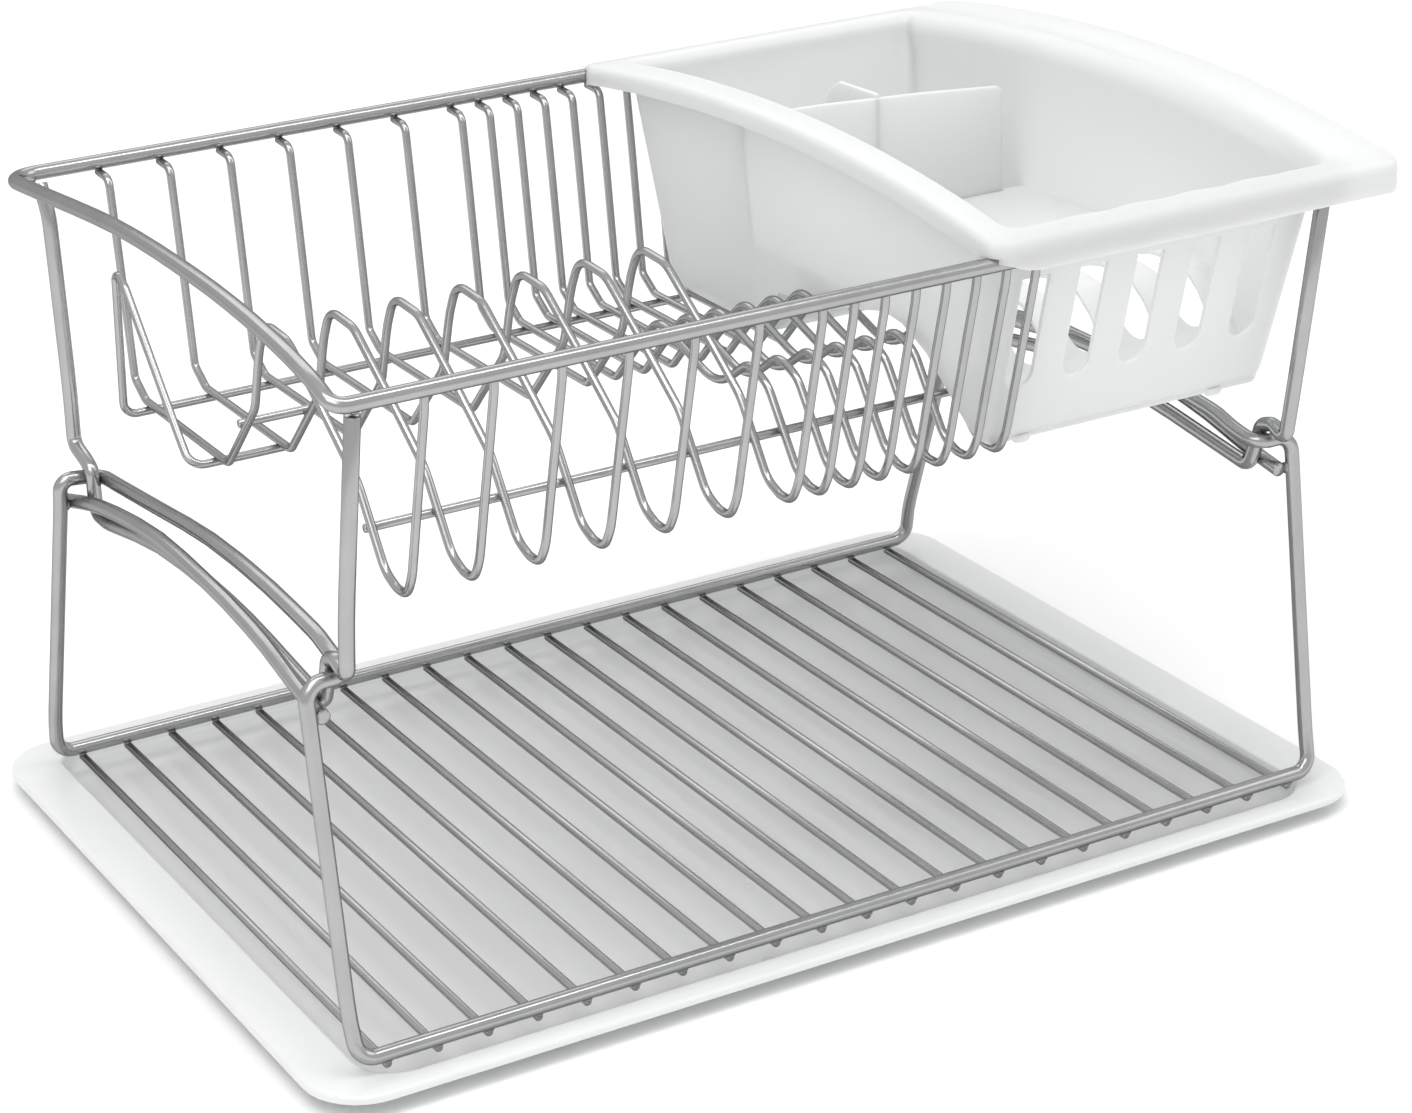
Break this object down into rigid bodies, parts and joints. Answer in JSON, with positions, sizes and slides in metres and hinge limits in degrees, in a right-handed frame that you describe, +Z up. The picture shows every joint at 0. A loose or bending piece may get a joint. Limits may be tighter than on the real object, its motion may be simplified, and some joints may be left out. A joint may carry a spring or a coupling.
{
  "type": "dish drying rack",
  "caption": "Two-tier wire dish drying rack with a lower plate shelf, a removable upper dish basket, a lift-out plastic cutlery basket and a shallow drip tray.",
  "frame": {"origin": "on the flat underside of the drip tray, midway between the ends of the lower rods, on the standing surface", "axes": "+X along the rack towards the cutlery basket, +Y from the front to the back, +Z up"},
  "size_m": [0.486, 0.3585, 0.298],
  "materials": {
    "wire_coating": "satin silver-grey coating",
    "tray_plastic": "satin translucent off-white",
    "basket_plastic": "semi-gloss translucent off-white"
  },
  "bodies": {
    "tray": {"drip_tray": "tray_plastic"},
    "lower_rack": {"lower_loop": "wire_coating", "lower_brace_left": "wire_coating", "lower_brace_right": "wire_coating", "plate_rod_01": "wire_coating", "plate_rod_02": "wire_coating", "plate_rod_03": "wire_coating", "plate_rod_04": "wire_coating", "plate_rod_05": "wire_coating", "plate_rod_06": "wire_coating", "plate_rod_07": "wire_coating", "plate_rod_08": "wire_coating", "plate_rod_09": "wire_coating", "plate_rod_10": "wire_coating", "plate_rod_11": "wire_coating", "plate_rod_12": "wire_coating", "plate_rod_13": "wire_coating", "plate_rod_14": "wire_coating", "plate_rod_15": "wire_coating", "plate_rod_16": "wire_coating", "plate_rod_17": "wire_coating", "plate_rod_18": "wire_coating", "plate_rod_19": "wire_coating", "plate_rod_20": "wire_coating", "plate_rod_21": "wire_coating"},
    "upper_rack": {"upper_rim": "wire_coating", "leg_loop_left": "wire_coating", "leg_loop_right": "wire_coating", "dish_wire_01": "wire_coating", "dish_wire_02": "wire_coating", "dish_wire_03": "wire_coating", "dish_wire_04": "wire_coating", "dish_wire_05": "wire_coating", "dish_wire_06": "wire_coating", "dish_wire_07": "wire_coating", "dish_wire_08": "wire_coating", "dish_wire_09": "wire_coating", "dish_wire_10": "wire_coating", "dish_wire_11": "wire_coating", "dish_wire_12": "wire_coating", "dish_wire_13": "wire_coating", "dish_wire_14": "wire_coating", "guard_rail": "wire_coating", "middle_rail": "wire_coating", "front_rail": "wire_coating"},
    "basket": {"cutlery_basket": "basket_plastic"}
  },
  "joints": [
    {"name": "lower_rack_lift", "type": "slide", "parent": "tray", "child": "lower_rack", "axis": [0, 0, 1], "range_m": [0, 0.04]},
    {"name": "upper_rack_lift", "type": "slide", "parent": "lower_rack", "child": "upper_rack", "axis": [0, 0, 1], "range_m": [0, 0.06]},
    {"name": "basket_lift", "type": "slide", "parent": "upper_rack", "child": "basket", "axis": [0, 0, 1], "range_m": [0, 0.13]}
  ]
}
